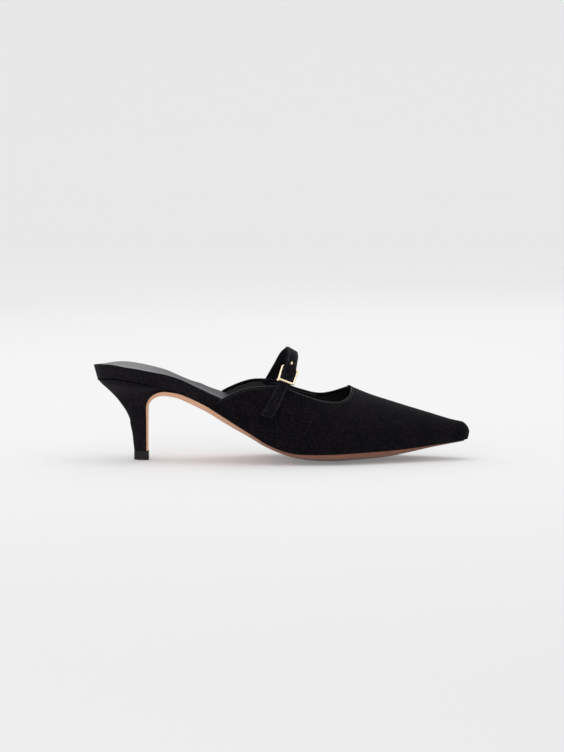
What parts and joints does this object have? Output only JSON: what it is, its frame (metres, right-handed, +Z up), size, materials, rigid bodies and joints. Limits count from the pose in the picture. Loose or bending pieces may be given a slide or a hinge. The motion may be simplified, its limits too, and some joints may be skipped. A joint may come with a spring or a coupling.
{
  "type": "mary jane mule",
  "caption": "Pointed mary jane mule with an open back, a kitten heel and a narrow instep strap with a square buckle.",
  "frame": {"origin": "on the floor under the middle of the shoe's box", "axes": "+X from the heel to the toe, +Y to the inner side of the foot, +Z up"},
  "size_m": [0.2492, 0.08, 0.076],
  "materials": {
    "suede": "napped suede",
    "tan_leather": "satin",
    "sock_leather": "smooth satin",
    "top_lift": "matte",
    "pale_gold": "polished"
  },
  "bodies": {
    "root": {"outsole": "tan_leather", "heel": "suede", "top_piece": "top_lift", "footbed": "suede", "sock": "sock_leather", "upper": "suede", "strap": "suede", "buckle_frame": "pale_gold", "buckle_prong": "pale_gold"}
  },
  "joints": []
}
